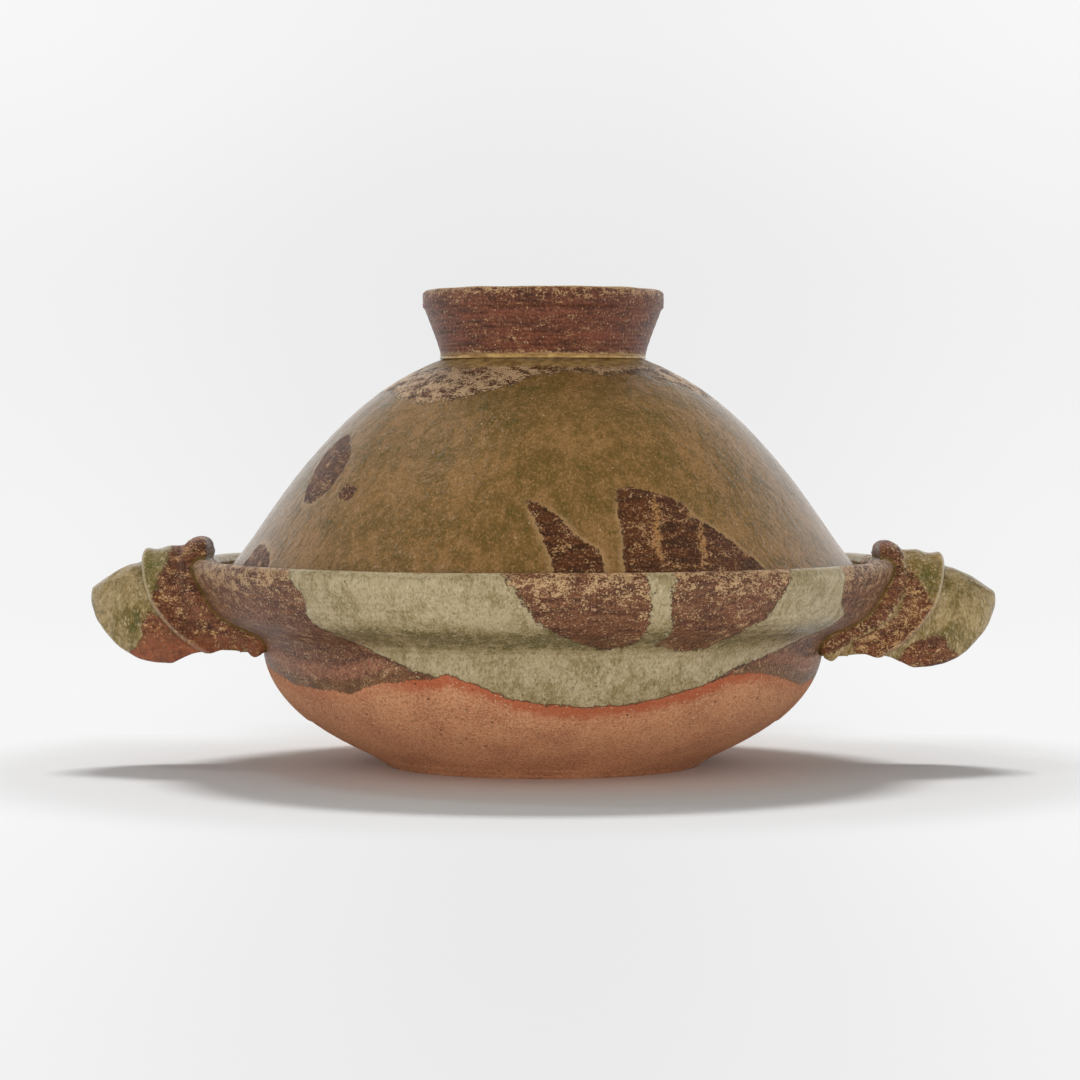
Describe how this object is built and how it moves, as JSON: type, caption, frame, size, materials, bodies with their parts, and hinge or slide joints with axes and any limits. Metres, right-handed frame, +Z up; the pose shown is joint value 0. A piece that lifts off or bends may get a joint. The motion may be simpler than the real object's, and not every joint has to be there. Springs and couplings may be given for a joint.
{
  "type": "earthenware hot pot",
  "caption": "Round earthenware hot pot with a flared collar, folded clay handles and a loose domed lid with a ring knob.",
  "frame": {"origin": "on the floor, under the middle of the pot", "axes": "+Z up, +X along the handles, -Y towards the side that the picture shows"},
  "size_m": [0.3616, 0.28, 0.1896],
  "materials": {
    "pot_clay": "ash and iron glaze over bare gritty clay",
    "handle_clay": "ash and iron glaze, satin",
    "lid_glaze": "gloss olive ash glaze",
    "knob_glaze": "satin iron glaze",
    "neck_glaze": "gloss pooled ash glaze"
  },
  "bodies": {
    "pot": {"pot_bowl": "pot_clay", "handle_left_hood": "handle_clay", "handle_left_wrap": "handle_clay", "handle_left_root_coil": "handle_clay", "handle_right_hood": "handle_clay", "handle_right_wrap": "handle_clay", "handle_right_root_coil": "handle_clay"},
    "lid": {"lid_dome": "lid_glaze", "lid_knob_ring": "knob_glaze", "lid_knob_joint_coil": "neck_glaze"}
  },
  "joints": [
    {"name": "lid_lift", "type": "slide", "parent": "pot", "child": "lid", "axis": [0, 0, 1], "range_m": [0, 0.15]}
  ]
}
